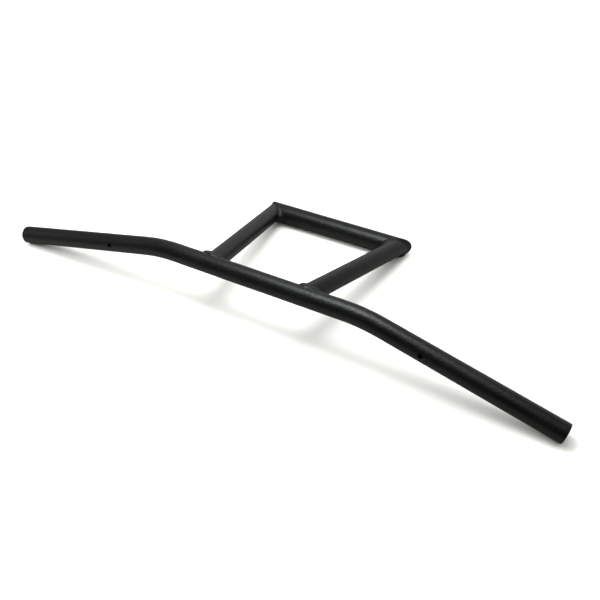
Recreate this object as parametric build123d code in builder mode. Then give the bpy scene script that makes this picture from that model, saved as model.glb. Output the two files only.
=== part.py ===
from build123d import *
from math import asin, cos, degrees, radians, sin, sqrt
import os

os.makedirs("parts", exist_ok=True)

# Driving dimensions, in millimetres and degrees.
tube_od = 22.2  # bar and riser tube, outside
tube_wall = 2.0
clamp_od = 25.4  # clamp crossbar, outside
clamp_wall = 3.2
riser_length = 203.2  # bar axis to crossbar axis, along a riser
riser_half_top = 60.5  # riser axis to the middle plane, at the bar
riser_half_bottom = 91.0  # riser axis to the middle plane, at the crossbar
bend_half = 131.5  # corner of each bend to the middle plane
bend_radius = 210.0
sweep_angle = 12.3
grip_run = 225.0  # corner of a bend to the cut end of the bar
end_break = 0.5  # broken edge round each cut end
pin_hole_d = 5.3
pin_hole_from_end = 154.0
feather_flat = 1.5  # feather edge of a cope, dressed back by this much
riser_bead_side = 3.0  # bead at a riser's top end: how far it fills the corners beside the riser
riser_bead_top = 1.4  # and how far it stands over both tubes where they lie level
riser_bead_under = 1.4  # how far that bead runs past the bar's top line
corner_bead_r = 2.6  # radius of the bead round each mitre

tube_r = tube_od / 2
tube_bore_r = tube_r - tube_wall
clamp_r = clamp_od / 2
clamp_bore_r = clamp_r - clamp_wall

# The risers and the crossbar lie in one plane, and the bar sweeps back square to it. `drop` is the distance in
# that plane from the bar's axis to the crossbar's axis, and `setback` is how far each end of the bar stands off it.
drop = sqrt(riser_length**2 - (riser_half_bottom - riser_half_top) ** 2)
setback = grip_run * sin(radians(sweep_angle))
table_z = -(tube_r + corner_bead_r)


def end_gap(tilt):
    """Height of a bar end's lowest point over the table, with the risers' plane tilted down by `tilt` degrees."""
    t = radians(tilt)
    slope = sin(radians(sweep_angle)) * cos(t)
    axis_z = drop * sin(t) - setback * cos(t)
    return axis_z + end_break * slope - tube_r * sqrt(1 - slope**2) - table_z


# The whole piece lies with its two corner beads and both bar ends on the table. The tilt that does so is found by halving.
low, high = 0.0, 45.0
for _ in range(60):
    tilt = (low + high) / 2
    if end_gap(tilt) < 0:
        low = tilt
    else:
        high = tilt
tilt = (low + high) / 2

# Origin: the middle of the crossbar's axis. +X along the crossbar, +Z up from the table.
x_dir = Vector(1, 0, 0)
down_risers = Vector(0, cos(radians(tilt)), -sin(radians(tilt)))
off_plane = Vector(0, sin(radians(tilt)), cos(radians(tilt)))
bar_middle = down_risers * -drop
bar_plane = Plane(origin=bar_middle, x_dir=x_dir, z_dir=down_risers)

end_x = bend_half + grip_run * cos(radians(sweep_angle))
print("tilt", round(tilt, 4), "table z", round(table_z, 4))
print("bar middle", bar_middle, "bar end x", round(end_x, 3))


# ---------------------------------------------------------------- the bar
with BuildPart() as handlebar_tube:
    with BuildLine(bar_plane) as bar_path:
        FilletPolyline(
            (-end_x, setback),
            (-bend_half, 0),
            (bend_half, 0),
            (end_x, setback),
            radius=bend_radius,
        )
    bar_wire = bar_path.line
    with BuildSketch(Plane(origin=bar_wire @ 0, z_dir=bar_wire % 0)):
        Circle(tube_r)
        Circle(tube_bore_r, mode=Mode.SUBTRACT)
    sweep(path=bar_wire)
    # Both cut ends have a small break on their outer edge.
    outer_rims = [
        e
        for e in handlebar_tube.edges().filter_by(GeomType.CIRCLE)
        if abs(e.radius - tube_r) < 1e-4 and abs(abs(e.arc_center.X) - end_x) < 1.0
    ]
    chamfer(outer_rims, end_break)
    # One round hole through the wall on the side away from the risers, in each grip stretch.
    for side in (-1, 1):
        along = Vector(side * cos(radians(sweep_angle)), 0, 0) + off_plane * -sin(
            radians(sweep_angle)
        )
        bar_end = Vector(side * end_x, 0, 0) + bar_middle + off_plane * -setback
        hole_foot = bar_end - along * pin_hole_from_end
        with BuildSketch(
            Plane(
                origin=hole_foot - down_risers * (tube_r + 2),
                x_dir=along,
                z_dir=down_risers,
            )
        ):
            Circle(pin_hole_d / 2)
        extrude(amount=tube_r, mode=Mode.SUBTRACT)
handlebar_tube.part.label = "handlebar_tube"
export_step(handlebar_tube.part, "parts/handlebar_tube.step")

# The straight middle of the bar as a full round, which shapes what is fitted against it.
with BuildPart() as bar_round:
    with BuildSketch(Plane(origin=bar_middle, z_dir=x_dir)):
        Circle(tube_r)
    extrude(amount=bend_half - 25, both=True)


# ---------------------------------------------------------------- one side: riser, its two beads and its mitre
def corner(side):
    return Vector(side * riser_half_bottom, 0, 0)


def up_riser(side):
    top = Vector(side * riser_half_top, 0, 0) + bar_middle
    return (top - corner(side)).normalized()


def mitre_plane(side):
    """The mitre at a bottom corner, facing up the riser and away from the crossbar."""
    inward = Vector(-side, 0, 0)
    normal = (up_riser(side) - inward).normalized()
    minor = normal.cross(up_riser(side)).normalized()
    return Plane(origin=corner(side), x_dir=minor.cross(normal), z_dir=normal)


# ---- left riser
with BuildPart() as left_riser_round:
    with BuildSketch(
        Plane(origin=corner(-1) - up_riser(-1) * 30, z_dir=up_riser(-1))
    ):
        Circle(tube_r)
    extrude(amount=30 + riser_length - feather_flat)
    split(bisect_by=mitre_plane(-1), keep=Keep.TOP)

with BuildPart() as left_riser:
    with BuildSketch(
        Plane(origin=corner(-1) - up_riser(-1) * 30, z_dir=up_riser(-1))
    ):
        Circle(tube_r)
        Circle(tube_bore_r, mode=Mode.SUBTRACT)
    extrude(amount=30 + riser_length - feather_flat)
    split(bisect_by=mitre_plane(-1), keep=Keep.TOP)
    add(bar_round.part, mode=Mode.SUBTRACT)
left_riser.part.label = "left_riser"
export_step(left_riser.part, "parts/left_riser.step")

# ---- right riser
with BuildPart() as right_riser_round:
    with BuildSketch(Plane(origin=corner(1) - up_riser(1) * 30, z_dir=up_riser(1))):
        Circle(tube_r)
    extrude(amount=30 + riser_length - feather_flat)
    split(bisect_by=mitre_plane(1), keep=Keep.TOP)

with BuildPart() as right_riser:
    with BuildSketch(Plane(origin=corner(1) - up_riser(1) * 30, z_dir=up_riser(1))):
        Circle(tube_r)
        Circle(tube_bore_r, mode=Mode.SUBTRACT)
    extrude(amount=30 + riser_length - feather_flat)
    split(bisect_by=mitre_plane(1), keep=Keep.TOP)
    add(bar_round.part, mode=Mode.SUBTRACT)
right_riser.part.label = "right_riser"
export_step(right_riser.part, "parts/right_riser.step")

# ---------------------------------------------------------------- the crossbar
with BuildPart() as clamp_round:
    with BuildSketch(Plane(origin=(0, 0, 0), z_dir=x_dir)):
        Circle(clamp_r)
    extrude(amount=riser_half_bottom + 30, both=True)
    split(bisect_by=mitre_plane(-1), keep=Keep.BOTTOM)
    split(bisect_by=mitre_plane(1), keep=Keep.BOTTOM)

with BuildPart() as clamp_crossbar:
    with BuildSketch(Plane(origin=(0, 0, 0), z_dir=x_dir)):
        Circle(clamp_r)
        Circle(clamp_bore_r, mode=Mode.SUBTRACT)
    extrude(amount=riser_half_bottom + 30, both=True)
    split(bisect_by=mitre_plane(-1), keep=Keep.BOTTOM)
    split(bisect_by=mitre_plane(1), keep=Keep.BOTTOM)
clamp_crossbar.part.label = "clamp_crossbar"
export_step(clamp_crossbar.part, "parts/clamp_crossbar.step")

# ---------------------------------------------------------------- weld beads on the bar
with BuildPart() as left_riser_weld:
    with BuildSketch(
        Plane(
            origin=corner(-1) + up_riser(-1) * (riser_length + riser_bead_under),
            x_dir=off_plane.cross(up_riser(-1)),
            z_dir=-up_riser(-1),
        )
    ):
        Ellipse(tube_r + riser_bead_side, tube_r + riser_bead_top + 0.05)
    extrude(amount=tube_r + riser_bead_side + riser_bead_under + 5)
    with BuildSketch(
        Plane(
            origin=bar_middle - x_dir * bend_half, x_dir=down_risers, z_dir=x_dir
        )
    ):
        Ellipse(tube_r + riser_bead_side, tube_r + riser_bead_top)
    extrude(amount=2 * bend_half, mode=Mode.INTERSECT)
    add(bar_round.part, mode=Mode.SUBTRACT)
    add(left_riser_round.part, mode=Mode.SUBTRACT)
left_riser_weld.part.label = "left_riser_weld"
export_step(left_riser_weld.part, "parts/left_riser_weld.step")

with BuildPart() as right_riser_weld:
    with BuildSketch(
        Plane(
            origin=corner(1) + up_riser(1) * (riser_length + riser_bead_under),
            x_dir=off_plane.cross(up_riser(1)),
            z_dir=-up_riser(1),
        )
    ):
        Ellipse(tube_r + riser_bead_side, tube_r + riser_bead_top + 0.05)
    extrude(amount=tube_r + riser_bead_side + riser_bead_under + 5)
    with BuildSketch(
        Plane(
            origin=bar_middle - x_dir * bend_half, x_dir=down_risers, z_dir=x_dir
        )
    ):
        Ellipse(tube_r + riser_bead_side, tube_r + riser_bead_top)
    extrude(amount=2 * bend_half, mode=Mode.INTERSECT)
    add(bar_round.part, mode=Mode.SUBTRACT)
    add(right_riser_round.part, mode=Mode.SUBTRACT)
right_riser_weld.part.label = "right_riser_weld"
export_step(right_riser_weld.part, "parts/right_riser_weld.step")

# ---------------------------------------------------------------- weld beads at the mitres
# Each bead follows the ellipse that the mitre cuts from the riser's outside.
with BuildPart() as left_corner_weld:
    with BuildLine(mitre_plane(-1)) as left_seam:
        EllipticalCenterArc(
            (0, 0),
            tube_r / abs(mitre_plane(-1).z_dir.dot(up_riser(-1))),
            tube_r,
            start_angle=0,
            arc_size=360,
        )
    with BuildSketch(Plane(origin=left_seam.line @ 0, z_dir=left_seam.line % 0)):
        Circle(corner_bead_r)
    sweep(path=left_seam.line)
    add(left_riser_round.part, mode=Mode.SUBTRACT)
    add(clamp_round.part, mode=Mode.SUBTRACT)
left_corner_weld.part.label = "left_corner_weld"
export_step(left_corner_weld.part, "parts/left_corner_weld.step")

with BuildPart() as right_corner_weld:
    with BuildLine(mitre_plane(1)) as right_seam:
        EllipticalCenterArc(
            (0, 0),
            tube_r / abs(mitre_plane(1).z_dir.dot(up_riser(1))),
            tube_r,
            start_angle=0,
            arc_size=360,
        )
    with BuildSketch(Plane(origin=right_seam.line @ 0, z_dir=right_seam.line % 0)):
        Circle(corner_bead_r)
    sweep(path=right_seam.line)
    add(right_riser_round.part, mode=Mode.SUBTRACT)
    add(clamp_round.part, mode=Mode.SUBTRACT)
right_corner_weld.part.label = "right_corner_weld"
export_step(right_corner_weld.part, "parts/right_corner_weld.step")
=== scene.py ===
import math

import bpy
from mathutils import Matrix, Vector, noise


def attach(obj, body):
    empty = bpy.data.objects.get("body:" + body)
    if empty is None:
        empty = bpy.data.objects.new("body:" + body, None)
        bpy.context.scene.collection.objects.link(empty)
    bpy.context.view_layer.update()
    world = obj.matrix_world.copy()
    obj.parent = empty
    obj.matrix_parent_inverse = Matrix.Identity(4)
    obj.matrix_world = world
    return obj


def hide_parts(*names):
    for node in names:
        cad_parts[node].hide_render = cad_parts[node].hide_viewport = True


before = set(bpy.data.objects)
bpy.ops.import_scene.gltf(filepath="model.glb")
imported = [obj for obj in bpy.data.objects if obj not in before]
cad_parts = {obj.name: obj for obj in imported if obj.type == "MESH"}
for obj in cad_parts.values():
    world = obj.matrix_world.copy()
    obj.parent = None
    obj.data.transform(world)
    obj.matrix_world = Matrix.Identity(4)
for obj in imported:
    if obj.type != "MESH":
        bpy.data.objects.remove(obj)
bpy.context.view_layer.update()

MM = 0.001

# ------------------------------------------------------------------ dimensions, in millimetres
TUBE_R = 11.1
BORE_R = 9.1
CLAMP_R = 12.7
RISER = 203.2
HALF_TOP = 60.5
HALF_BOTTOM = 91.0
TILT = math.radians(12.6018)
SWEEP = math.radians(12.3)
BEND_HALF = 131.5
GRIP_RUN = 225.0
TABLE_Z = -13.7

X = Vector((1, 0, 0))
DOWN = Vector((0, math.cos(TILT), -math.sin(TILT)))  # from the bar to the crossbar
OFF = Vector((0, math.sin(TILT), math.cos(TILT)))  # square to the risers' plane
DROP = math.sqrt(RISER**2 - (HALF_BOTTOM - HALF_TOP) ** 2)
BAR_MIDDLE = DOWN * -DROP


def smooth_max(a, b, k):
    """The larger of two lengths, with the change between them rounded over k."""
    h = max(k - abs(a - b), 0.0) / k
    return max(a, b) + h * h * k * 0.25


def wander(s, length, seed, turns):
    """A slow wave along a closed bead, from -1 to 1, that meets itself."""
    a = 2 * math.pi * s / length
    r = turns / (2 * math.pi)
    return noise.noise(Vector((r * math.cos(a) + seed, r * math.sin(a) - seed, seed * 0.37)))


# ------------------------------------------------------------------ camera
def make_camera():
    cam = bpy.data.cameras.new("camera")
    cam.sensor_fit = "HORIZONTAL"
    cam.sensor_width = 36.0
    cam.lens = 41.571
    obj = bpy.data.objects.new("camera", cam)
    obj.rotation_mode = "XYZ"
    obj.rotation_euler = tuple(math.radians(a) for a in (51.1403, 0.0469, 29.1357))
    obj.location = (0.34098, -0.70568, 0.50766)
    cam.clip_start, cam.clip_end = 0.01, 50
    bpy.context.scene.collection.objects.link(obj)
    bpy.context.scene.camera = obj


make_camera()


# ------------------------------------------------------------------ node helpers
class Nodes:
    def __init__(self, tree):
        self.tree = tree
        tree.nodes.clear()

    def add(self, kind, **values):
        n = self.tree.nodes.new(kind)
        for k, v in values.items():
            setattr(n, k, v)
        return n

    def link(self, a, b):
        self.tree.links.new(a, b)

    def feed(self, socket, value):
        if isinstance(value, bpy.types.NodeSocket):
            self.link(value, socket)
        else:
            socket.default_value = value

    def math(self, op, a, b=None, c=None, clamp=False):
        n = self.add("ShaderNodeMath", operation=op, use_clamp=clamp)
        for i, v in enumerate((a, b, c)):
            if v is not None:
                self.feed(n.inputs[i], v)
        return n.outputs[0]

    def vec(self, op, a, b=None):
        n = self.add("ShaderNodeVectorMath", operation=op)
        self.feed(n.inputs[0], a)
        if b is not None:
            self.feed(n.inputs[1], b)
        return n.outputs["Value"] if op in ("DOT_PRODUCT", "LENGTH", "DISTANCE") else n.outputs["Vector"]

    def noise(self, at, scale, detail=2.0, rough=0.5, distortion=0.0):
        n = self.add("ShaderNodeTexNoise")
        self.link(at, n.inputs["Vector"])
        n.inputs["Scale"].default_value = scale
        n.inputs["Detail"].default_value = detail
        n.inputs["Roughness"].default_value = rough
        n.inputs["Distortion"].default_value = distortion
        return n.outputs["Fac"]

    def span(self, value, a, b, lo=0.0, hi=1.0, smooth=False):
        n = self.add("ShaderNodeMapRange")
        n.interpolation_type = "SMOOTHSTEP" if smooth else "LINEAR"
        n.clamp = True
        self.feed(n.inputs["Value"], value)
        n.inputs["From Min"].default_value = a
        n.inputs["From Max"].default_value = b
        n.inputs["To Min"].default_value = lo
        n.inputs["To Max"].default_value = hi
        return n.outputs["Result"]

    def mix(self, t, a, b):
        n = self.add("ShaderNodeMix", data_type="RGBA")
        self.feed(n.inputs["Factor"], t)
        self.feed(n.inputs["A"], a)
        self.feed(n.inputs["B"], b)
        return n.outputs["Result"]


# ------------------------------------------------------------------ the coat: satin black powder on steel
def coat_material(name, bores=False):
    m = bpy.data.materials.new(name)
    m.use_nodes = True
    n = Nodes(m.node_tree)
    at = n.add("ShaderNodeTexCoord").outputs["Object"]

    # Powder grain: round pebbles, a fine orange peel and a finer speckle on them.
    peel = n.noise(at, 620.0, 2.0, 0.5)
    grain = n.noise(at, 1900.0, 2.0, 0.6)
    pebble = n.noise(at, 420.0, 1.0, 0.4)
    lumps = n.noise(at, 130.0, 2.0, 0.5)
    height = n.math("ADD", n.math("MULTIPLY", peel, 1.7), n.math("MULTIPLY", grain, 0.6))
    height = n.math("ADD", height, n.math("MULTIPLY", pebble, 1.9))
    height = n.math("ADD", height, n.math("MULTIPLY", lumps, 0.6))
    bump = n.add("ShaderNodeBump")
    bump.inputs["Strength"].default_value = 0.5
    bump.inputs["Distance"].default_value = 0.00027
    n.link(height, bump.inputs["Height"])

    # Colour: near black, a little uneven in the film, the peaks of the grain a touch lighter.
    cloud = n.noise(at, 28.0, 3.0, 0.55)
    colour = n.mix(n.span(cloud, 0.35, 0.65), (0.0050, 0.0052, 0.0057, 1), (0.0090, 0.0091, 0.0092, 1))
    peaks = n.span(n.math("ADD", n.math("MULTIPLY", peel, 0.6), n.math("MULTIPLY", grain, 0.4)), 0.52, 0.72)
    colour = n.mix(n.math("MULTIPLY", peaks, 0.6), colour, (0.022, 0.0223, 0.0226, 1))

    rough = n.math("ADD", n.span(cloud, 0.3, 0.7, -0.025, 0.025), n.span(peel, 0.3, 0.7, 0.40, 0.34))

    shader = n.add("ShaderNodeBsdfPrincipled")
    if bores:
        # Inside the bar's ends the coat thins out with depth to plain steel, dull and a little brown.
        sep = n.add("ShaderNodeSeparateXYZ")
        flip = n.add("ShaderNodeCombineXYZ")
        n.link(at, sep.inputs[0])
        n.link(n.math("ABSOLUTE", sep.outputs[0]), flip.inputs[0])
        n.link(sep.outputs[1], flip.inputs[1])
        n.link(sep.outputs[2], flip.inputs[2])
        run = X * math.cos(SWEEP) - OFF * math.sin(SWEEP)
        end = (X * BEND_HALF + BAR_MIDDLE + run * GRIP_RUN) * MM
        rel = n.vec("SUBTRACT", flip.outputs[0], tuple(end))
        depth = n.math("MULTIPLY", n.vec("DOT_PRODUCT", rel, tuple(run)), -1.0)
        off_axis = n.vec("LENGTH", n.vec("CROSS_PRODUCT", rel, tuple(run)))
        inside = n.math("LESS_THAN", off_axis, (BORE_R + 0.35) * MM)
        edge = n.math("ADD", depth, n.span(n.noise(at, 160.0, 3.0, 0.6), 0.3, 0.7, -0.009, 0.009))
        bare = n.math("MULTIPLY", inside, n.span(edge, 0.024, 0.052, smooth=True))
        bare = n.math("MULTIPLY", bare, n.math("LESS_THAN", depth, 0.185))
        stain = n.noise(at, 75.0, 4.0, 0.65)
        steel = n.mix(n.span(stain, 0.35, 0.68), (0.105, 0.098, 0.09, 1), (0.052, 0.040, 0.030, 1))
        colour = n.mix(bare, colour, steel)
        rough = n.math("ADD", rough, n.math("MULTIPLY", bare, 0.08))
        n.feed(shader.inputs["Metallic"], n.math("MULTIPLY", bare, 0.75))
    n.feed(shader.inputs["Base Color"], colour)
    n.feed(shader.inputs["Roughness"], rough)
    shader.inputs["IOR"].default_value = 1.5
    shader.inputs["Specular IOR Level"].default_value = 0.5
    n.link(bump.outputs["Normal"], shader.inputs["Normal"])
    out = n.add("ShaderNodeOutputMaterial")
    n.link(shader.outputs["BSDF"], out.inputs["Surface"])
    return m


coat = coat_material("black_coat")
bar_coat = coat_material("black_coat_bar", bores=True)

for name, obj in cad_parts.items():
    for slot in obj.material_slots:
        slot.material = bar_coat if name == "handlebar_tube" else coat


# ------------------------------------------------------------------ weld beads
def bead(name, node, path, section, seed, pitch=1.9, ripple=0.10, step=0.17, across=16):
    """A closed bead. path(a) gives the seam's point at angle a; section(a, grow) gives the toe on one tube, the crown,
    the toe on the other tube, the way out of the joint and three points buried in the metal."""
    fine = [path(2 * math.pi * i / 720) for i in range(721)]
    run = [0.0]
    for p, q in zip(fine, fine[1:]):
        run.append(run[-1] + (q - p).length)
    length = run[-1]
    count = int(length / step)
    pitch = length / round(length / pitch)
    verts, faces = [], []
    k = 0
    for i in range(count):
        s = length * i / count
        while run[k + 1] < s:
            k += 1
        a = 2 * math.pi * (k + (s - run[k]) / (run[k + 1] - run[k])) / 720
        slow = wander(s, length, seed, 14.0)
        quick = wander(s, length, seed + 5.3, 55.0)
        scallop = math.cos(2 * math.pi * (s / pitch - 0.2 + 0.25 * quick))
        toe_a, crown, toe_b, out, buried = section(
            a, 1 + 0.10 * slow + 0.05 * quick + 0.035 * scallop, 1 + 0.12 * wander(s, length, seed + 9.1, 20.0)
        )
        control = crown * 2 - (toe_a + toe_b) * 0.5
        for j in range(across + 1):
            v = j / across
            p = toe_a * (1 - v) ** 2 + control * 2 * v * (1 - v) + toe_b * v * v
            bow = 1 - (2 * v - 1) ** 2
            phase = (s + 1.15 * bow + 0.35 * quick) / pitch + 0.12 * slow
            f = phase - math.floor(phase)
            scale = (f / 0.72 if f < 0.72 else (1 - f) / 0.28)  # long slope, short step, as each puddle froze
            scale = scale * scale * (3 - 2 * scale)
            hide = min(1.0, 5.5 * v, 5.5 * (1 - v))
            p = p + out * (ripple * (scale - 0.5) * hide * (1 + 0.5 * slow))
            p.z = max(p.z, TABLE_Z)  # flattened where it has stood on its beads
            verts.append(p * MM)
        for p in buried:
            verts.append(p * MM)
    ring = across + 1 + 3
    for i in range(count):
        for j in range(ring):
            a, b = i * ring + j, i * ring + (j + 1) % ring
            c, d = ((i + 1) % count) * ring + (j + 1) % ring, ((i + 1) % count) * ring + j
            faces.append((a, b, c, d))
    mesh = bpy.data.meshes.new(name)
    mesh.from_pydata([tuple(v) for v in verts], [], faces)
    mesh.validate()
    volume = sum(
        (mesh.vertices[t[0]].co.cross(mesh.vertices[t[1]].co)).dot(mesh.vertices[t[2]].co)
        for f in mesh.polygons
        for t in ((f.vertices[0], f.vertices[1], f.vertices[2]), (f.vertices[0], f.vertices[2], f.vertices[3]))
    )
    if volume < 0:
        mesh.flip_normals()
    mesh.shade_smooth()
    obj = bpy.data.objects.new(name, mesh)
    bpy.context.scene.collection.objects.link(obj)
    mesh.materials.append(coat)
    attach(obj, "root")
    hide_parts(node)
    return obj


def smoothstep(low, high, x):
    t = min(1.0, max(0.0, (x - low) / (high - low)))
    return t * t * (3 - 2 * t)


def riser_bead(side):
    """Round the riser where it is coped on to the bar."""
    top = BAR_MIDDLE + X * side * HALF_TOP
    foot = X * side * HALF_BOTTOM
    w = (foot - top).normalized()
    a_dir = w.cross(OFF).normalized()
    if a_dir.dot(X) < 0:
        a_dir = -a_dir

    def path(a):
        rho = a_dir * math.cos(a) + OFF * math.sin(a)
        y = TUBE_R * math.sqrt(math.cos(a) ** 2 + 0.30**2)
        s = (y - TUBE_R * rho.dot(DOWN)) / w.dot(DOWN)
        return top + rho * TUBE_R + w * s

    def on_bar(p, r):
        d = p - BAR_MIDDLE
        across = d - X * d.dot(X)
        return BAR_MIDDLE + X * d.dot(X) + across.normalized() * r

    def on_riser(p, r):
        d = p - top
        across = d - w * d.dot(w)
        return top + w * d.dot(w) + across.normalized() * r

    def section(a, wide, high):
        p = path(a)
        t = (path(a + 0.004) - path(a - 0.004)).normalized()
        d = p - BAR_MIDDLE
        n_bar = (d - X * d.dot(X)).normalized()
        d = p - top
        n_riser = (d - w * d.dot(w)).normalized()
        if t.cross(n_riser).dot(w) < 0:
            t = -t
        to_riser = t.cross(n_riser).normalized()
        to_bar = n_bar.cross(t).normalized()
        flat = abs(math.sin(a)) ** 4  # 1 where the two tubes lie level, 0 at the riser's sides
        fat = 0.5 - 0.5 * math.cos(a)  # 1 on the side towards -X, where the welder stopped
        blob = smoothstep(0.35, 0.9, fat)
        leg_bar = ((4.4 + (2.6 if side < 0 else -0.9) * blob) * (1 - flat) + 4.4 * flat) * wide
        leg_riser = ((4.2 + 3.2 * blob) * (1 - flat) + 2.4 * flat) * wide
        toe_bar = on_bar(p + to_bar * leg_bar, TUBE_R - 0.2)
        toe_riser = on_riser(p + to_riser * leg_riser, TUBE_R - 0.2)
        middle = (toe_bar + toe_riser) * 0.5
        out = (n_bar + n_riser).normalized()
        chord = (middle - p).dot(out)
        lift = smooth_max(chord + 1.1 * high, 1.2 * high, 1.0)
        crown = middle + out * (lift - chord)
        full = (toe_bar + n_bar * (0.55 * leg_riser) + middle) * 0.5
        crown = crown + (full - crown) * (blob * (1 - flat))
        buried = (
            on_riser(toe_riser, TUBE_R - 1.4),
            on_bar(on_riser(p - out * 1.0, TUBE_R - 1.0), TUBE_R - 1.0),
            on_bar(toe_bar, TUBE_R - 1.4),
        )
        return toe_bar, crown, toe_riser, out, buried

    return path, section


def corner_bead(side):
    """Round the mitre between a riser and the crossbar."""
    foot = X * side * HALF_BOTTOM
    up = (BAR_MIDDLE + X * side * HALF_TOP - foot).normalized()
    inward = X * -side
    normal = (up - inward).normalized()
    minor = normal.cross(up).normalized()
    major = minor.cross(normal).normalized()
    stretch = 1 / abs(normal.dot(up))

    def ray(a):
        return major * (stretch * math.cos(a)) + minor * math.sin(a)

    def path(a):
        return foot + ray(a) * TUBE_R

    def radial(v, axis):
        return (v - axis * v.dot(axis)).normalized()

    def section(a, wide, high):
        e = ray(a)
        n_riser, n_clamp = radial(e, up), radial(e, inward)
        on_riser, on_clamp = foot + e * TUBE_R, foot + e * CLAMP_R
        out = (n_riser + n_clamp).normalized()
        inner = 0.5 + 0.5 * math.cos(a) * (1 if major.dot(up + inward) > 0 else -1)
        under = max(0.0, -e.z) ** 3  # 1 where the bead rests on the table
        cover = smoothstep(0.12, 0.62, inner + 0.6 * under)  # 0 at the outer tip, where the crossbar's rim stays bare
        leg = (2.3 + 3.2 * inner) * wide
        toe_riser = on_riser + up * (leg + 0.6 + 6.0 * (1 - inner) ** 2) - n_riser * 0.2
        toe_clamp = on_clamp + inward * ((leg * 0.85 + 0.6) * cover + 0.12 * (1 - cover)) - n_clamp * 0.12
        middle = (toe_riser + toe_clamp) * 0.5
        chord = (middle - on_clamp).dot(out)
        stand = (0.05 + 0.35 * inner) * (1 - under) * high + 1.02 * under
        lift = smooth_max(chord + (0.3 + 0.5 * inner) * high, stand, 0.15)
        crown = middle + out * ((lift - chord) * cover + 0.22 * high * (1 - cover))
        buried = (
            toe_riser - n_riser * 1.1,
            foot + e * (TUBE_R - 1.2),
            toe_clamp - n_clamp * 1.6,
        )
        return toe_clamp, crown, toe_riser, out, buried

    return path, section


for side, word in ((-1, "left"), (1, "right")):
    bead(f"{word}_riser_bead", f"{word}_riser_weld", *riser_bead(side), seed=3.1 + side)
    bead(f"{word}_corner_bead", f"{word}_corner_weld", *corner_bead(side), seed=8.7 + side, pitch=2.1, ripple=0.09)


# ------------------------------------------------------------------ floor, light and backdrop
def make_floor():
    mesh = bpy.data.meshes.new("floor")
    r, z = 14.0, TABLE_Z * MM
    mesh.from_pydata([(-r, -r, z), (r, -r, z), (r, r, z), (-r, r, z)], [], [(0, 1, 2, 3)])
    floor = bpy.data.objects.new("floor", mesh)
    bpy.context.scene.collection.objects.link(floor)
    m = bpy.data.materials.new("pale_floor")
    m.use_nodes = True
    n = Nodes(m.node_tree)
    at = n.add("ShaderNodeTexCoord").outputs["Object"]
    seen = n.add("ShaderNodeLightPath").outputs["Is Camera Ray"]
    reach = n.vec("LENGTH", at)
    shader = n.add("ShaderNodeBsdfPrincipled")
    # The coat sees a greyer table than the camera does: painted shade, a darker copy of the table's colour for every
    # ray but the camera's, painted darker still with distance until it is black beyond 0.9 m.
    painted_shade_copy = n.mix(n.span(reach, 0.3, 0.9, smooth=True), (0.21, 0.208, 0.20, 1), (0, 0, 0, 1))
    n.feed(shader.inputs["Base Color"], n.mix(seen, painted_shade_copy, (0.86, 0.86, 0.82, 1)))
    shader.inputs["Roughness"].default_value = 0.9
    shader.inputs["Specular IOR Level"].default_value = 0.0
    far = n.span(reach, 0.35, 1.5, 0.0, 1.0, smooth=True)
    shader.inputs["Emission Color"].default_value = (1, 1, 1, 1)
    n.feed(shader.inputs["Emission Strength"], n.math("MULTIPLY", far, seen))
    out = n.add("ShaderNodeOutputMaterial")
    n.link(shader.outputs["BSDF"], out.inputs["Surface"])
    mesh.materials.append(m)
    return floor


def softbox(name, at, aim, size, radiance, colour=(1, 1, 1), only=None):
    light = bpy.data.lights.new(name, "AREA")
    light.shape = "RECTANGLE"
    light.size, light.size_y = size
    light.energy = radiance * math.pi * size[0] * size[1]
    light.color = colour
    obj = bpy.data.objects.new(name, light)
    obj.location = at
    obj.rotation_mode = "QUATERNION"
    obj.rotation_quaternion = (Vector(aim) - Vector(at)).to_track_quat("-Z", "Y")
    bpy.context.scene.collection.objects.link(obj)
    if only:
        lit = bpy.data.collections.new(name + "_lights")
        for o in only:
            lit.objects.link(o)
        obj.light_linking.receiver_collection = lit
    return obj


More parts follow.
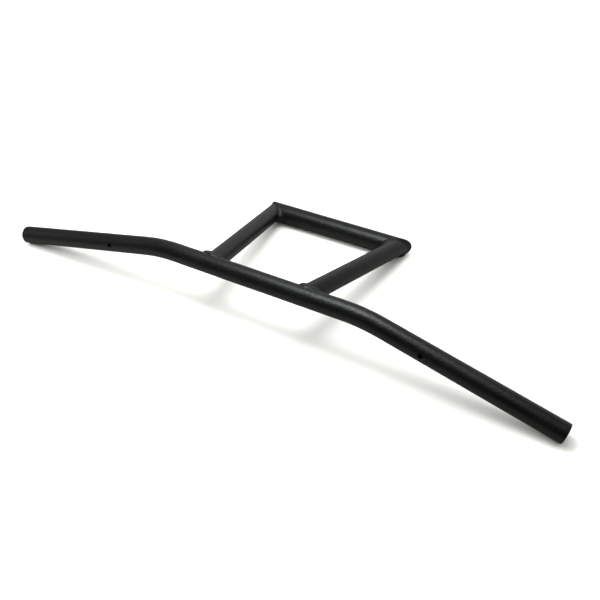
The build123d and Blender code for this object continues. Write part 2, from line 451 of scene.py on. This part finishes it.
def make_world(glows):
    """A dark room with a few broad soft glows: azimuth, elevation, power, strength."""
    world = bpy.data.worlds.new("studio")
    bpy.context.scene.world = world
    world.use_nodes = True
    n = Nodes(world.node_tree)
    at = n.add("ShaderNodeTexCoord").outputs["Generated"]
    level = 0.0
    for azimuth, elevation, power, strength in glows:
        az, el = math.radians(azimuth), math.radians(elevation)
        way = (math.cos(az) * math.cos(el), math.sin(az) * math.cos(el), math.sin(el))
        facing = n.math("MAXIMUM", n.vec("DOT_PRODUCT", at, way), 0.0)
        level = n.math("ADD", n.math("MULTIPLY", n.math("POWER", facing, float(power)), strength), level)
    seen = n.add("ShaderNodeLightPath").outputs["Is Camera Ray"]
    level = n.math("ADD", n.math("MULTIPLY", level, n.math("SUBTRACT", 1.0, seen)), seen)
    back = n.add("ShaderNodeBackground")
    back.inputs["Color"].default_value = (1, 1, 1, 1)
    n.link(level, back.inputs["Strength"])
    out = n.add("ShaderNodeOutputWorld")
    n.link(back.outputs[0], out.inputs["Surface"])


floor = make_floor()
softbox("key", (-0.040, -0.122, 0.754), (-0.040, -0.122, 0.0), (0.34, 0.34), 8.6, (0.955, 1.0, 1.02))
softbox("top", (0.0, -0.12, 1.5), (0.0, -0.12, 0.0), (1.6, 1.6), 0.74)
make_world(
    (
        # azimuth, elevation, power, strength: a band of light along the horizon behind the object, dimmer overhead
        (40, 4, 25, 0.48), (65, 4, 25, 0.51), (85, 4, 25, 0.72), (105, 4, 25, 0.73), (130, 4, 25, 0.70), (190, 4, 25, 1.15),
        (120, 50, 6, 0.204), (180, 50, 6, 0.204), (225, 12, 4, 0.082),
    )
)
# These reach the table only, and set how dark and how soft the shadows on it are.
softbox("table_dome", (0.0, -0.1, 1.4), (0.0, -0.1, 0.0), (3.6, 3.6), 1.1, only=[floor])
softbox("table_left", (-0.8, -0.15, 1.5), (0.0, -0.1, 0.0), (0.6, 0.6), 3.9, only=[floor])
softbox("table_fill", (-0.52, -0.48, 0.38), (-0.22, -0.15, 0.0), (0.3, 0.3), 5.0, only=[floor])
softbox("table_back", (0.0, 0.6, 1.5), (0.0, -0.1, 0.0), (0.6, 0.6), 1.76, only=[floor])
softbox("table_front", (-1.2, -0.6, 1.5), (0.0, -0.1, 0.0), (1.0, 1.0), 1.63, only=[floor])
bpy.context.scene.view_settings.view_transform = "Standard"
